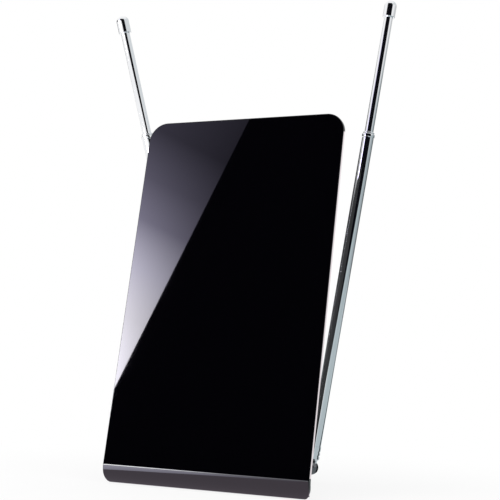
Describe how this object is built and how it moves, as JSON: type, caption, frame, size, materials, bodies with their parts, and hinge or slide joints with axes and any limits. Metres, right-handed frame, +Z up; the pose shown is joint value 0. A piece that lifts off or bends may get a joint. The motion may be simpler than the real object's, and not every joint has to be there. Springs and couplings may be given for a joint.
{
  "type": "indoor tv antenna",
  "caption": "Flat indoor TV antenna: a leaning gloss black panel on a weighted foot, with telescopic chrome rods on swivelling knuckles and a threaded coaxial socket.",
  "frame": {"origin": "on the table, under the middle of the foot's rubber pad", "axes": "+Z up, +Y to the back where the socket is, -Y to the gloss face, +X to the right as seen from the front"},
  "size_m": [0.1766, 0.1287, 0.332],
  "materials": {
    "gloss_black": "piano gloss",
    "satin_black": "fine satin moulding",
    "element_sheet": "rolled sheet",
    "lead_jacket": "flat twin lead jacket",
    "ballast_steel": "zinc plated",
    "board_laminate": "glass laminate",
    "ferrite": "sintered ferrite",
    "nickel_plate": "nickel plated",
    "insulator_white": "moulded insulator",
    "foot_rubber": "soft rubber",
    "screw_steel": "zinc plated",
    "contact_brass": "bare spring brass",
    "knuckle_metal": "dark plated",
    "rod_chrome": "bright plated tube"
  },
  "bodies": {
    "stand": {"front_cover": "gloss_black", "rear_cover": "satin_black", "uhf_element": "element_sheet", "feed_lead": "lead_jacket", "base_top": "satin_black", "base_bottom": "satin_black", "ballast_plate": "ballast_steel", "circuit_board": "board_laminate", "balun_core": "ferrite", "f_jack": "nickel_plate", "jack_insulator": "insulator_white", "f_jack_nut": "nickel_plate", "rubber_pad": "foot_rubber", "base_screws": "screw_steel", "board_screws": "screw_steel", "panel_screws": "screw_steel", "right_rod_contact": "contact_brass", "right_stud_washer": "screw_steel", "left_rod_contact": "contact_brass", "left_stud_washer": "screw_steel"},
    "right_swivel": {"right_knuckle": "knuckle_metal", "right_hinge_pin": "screw_steel", "right_stud_nut": "screw_steel"},
    "right_rod": {"right_rod_base": "rod_chrome", "right_outer_tube": "rod_chrome"},
    "right_middle": {"right_middle_tube": "rod_chrome"},
    "right_inner": {"right_inner_tube": "rod_chrome", "right_rod_tip": "rod_chrome"},
    "left_swivel": {"left_knuckle": "knuckle_metal", "left_hinge_pin": "screw_steel", "left_stud_nut": "screw_steel"},
    "left_rod": {"left_rod_base": "rod_chrome", "left_outer_tube": "rod_chrome"},
    "left_middle": {"left_middle_tube": "rod_chrome"},
    "left_inner": {"left_inner_tube": "rod_chrome", "left_rod_tip": "rod_chrome"}
  },
  "joints": [
    {"name": "right_swing", "type": "hinge", "parent": "stand", "child": "right_swivel", "pos_m": [0.03464, 0.03292, 0.01], "axis": [1, 0, 0], "range_deg": [-84, 15]},
    {"name": "right_spread", "type": "hinge", "parent": "right_swivel", "child": "right_rod", "pos_m": [0.03464, 0.03292, 0.01], "axis": [0, 0.9945, -0.1045], "range_deg": [-6.5, 83.5]},
    {"name": "right_middle_slide", "type": "slide", "parent": "right_rod", "child": "right_middle", "axis": [0.1132, 0.1039, 0.9881], "range_m": [0, 0.165]},
    {"name": "right_inner_slide", "type": "slide", "parent": "right_middle", "child": "right_inner", "axis": [0.1132, 0.1039, 0.9881], "range_m": [-0.0829, 0.0896]},
    {"name": "left_swing", "type": "hinge", "parent": "stand", "child": "left_swivel", "pos_m": [-0.03464, 0.03292, 0.01], "axis": [1, 0, 0], "range_deg": [-98.8, 0.2]},
    {"name": "left_spread", "type": "hinge", "parent": "left_swivel", "child": "left_rod", "pos_m": [-0.03464, 0.03292, 0.01], "axis": [0, -0.9882, -0.153], "range_deg": [-11.6, 78.4]},
    {"name": "left_middle_slide", "type": "slide", "parent": "left_rod", "child": "left_middle", "axis": [-0.2011, -0.1499, 0.968], "range_m": [0, 0.165]},
    {"name": "left_inner_slide", "type": "slide", "parent": "left_middle", "child": "left_inner", "axis": [-0.2011, -0.1499, 0.968], "range_m": [-0.0713, 0.1012]}
  ]
}
